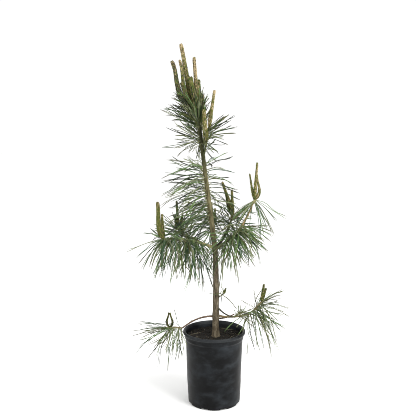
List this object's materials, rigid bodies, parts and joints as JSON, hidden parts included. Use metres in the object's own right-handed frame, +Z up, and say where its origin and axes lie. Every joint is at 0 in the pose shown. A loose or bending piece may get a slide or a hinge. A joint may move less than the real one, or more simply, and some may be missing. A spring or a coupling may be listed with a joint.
{
  "type": "potted long-needled pine",
  "caption": "Young pine with upright spring candles on open tiers of long needles, standing in a deep round nursery pot.",
  "frame": {"origin": "centre of the pot's flat underside", "axes": "+Z up along the trunk, -Y towards the side the plant is seen from, +X to that view's right"},
  "size_m": [0.5114, 0.3539, 1.1378],
  "materials": {
    "pot_plastic": "satin black",
    "compost": "rough",
    "bark": "rough",
    "twig_bark": "rough",
    "needles": "satin"
  },
  "bodies": {
    "root": {"leader_needles": "needles", "lower_left_bough": "twig_bark", "lower_left_needles": "needles", "lower_right_bough": "twig_bark", "lower_right_needles": "needles", "lower_right_rear_bough": "twig_bark", "lower_right_side_needles": "needles", "lower_right_upper_bough": "twig_bark", "mid_left_bough": "twig_bark", "mid_left_needles": "needles", "mid_left_rear_bough": "twig_bark", "mid_left_rear_needles": "needles", "mid_rear_bough": "twig_bark", "mid_rear_needles": "needles", "mid_right_bough": "twig_bark", "mid_right_needles": "needles", "mid_right_outer_bough": "twig_bark", "mid_right_rear_bough": "twig_bark", "mid_right_rear_needles": "needles", "mid_right_tip_needles": "needles", "pot": "pot_plastic", "soil": "compost", "stem_left_needles": "needles", "stem_rear_needles": "needles", "stem_right_needles": "needles", "top_left_needles": "needles", "top_rear_needles": "needles", "top_right_needles": "needles", "trunk": "bark", "trunk_tuft_needles": "needles", "upper_front_needles": "needles", "upper_left_needles": "needles", "upper_rear_needles": "needles", "upper_right_needles": "needles"}
  },
  "joints": []
}
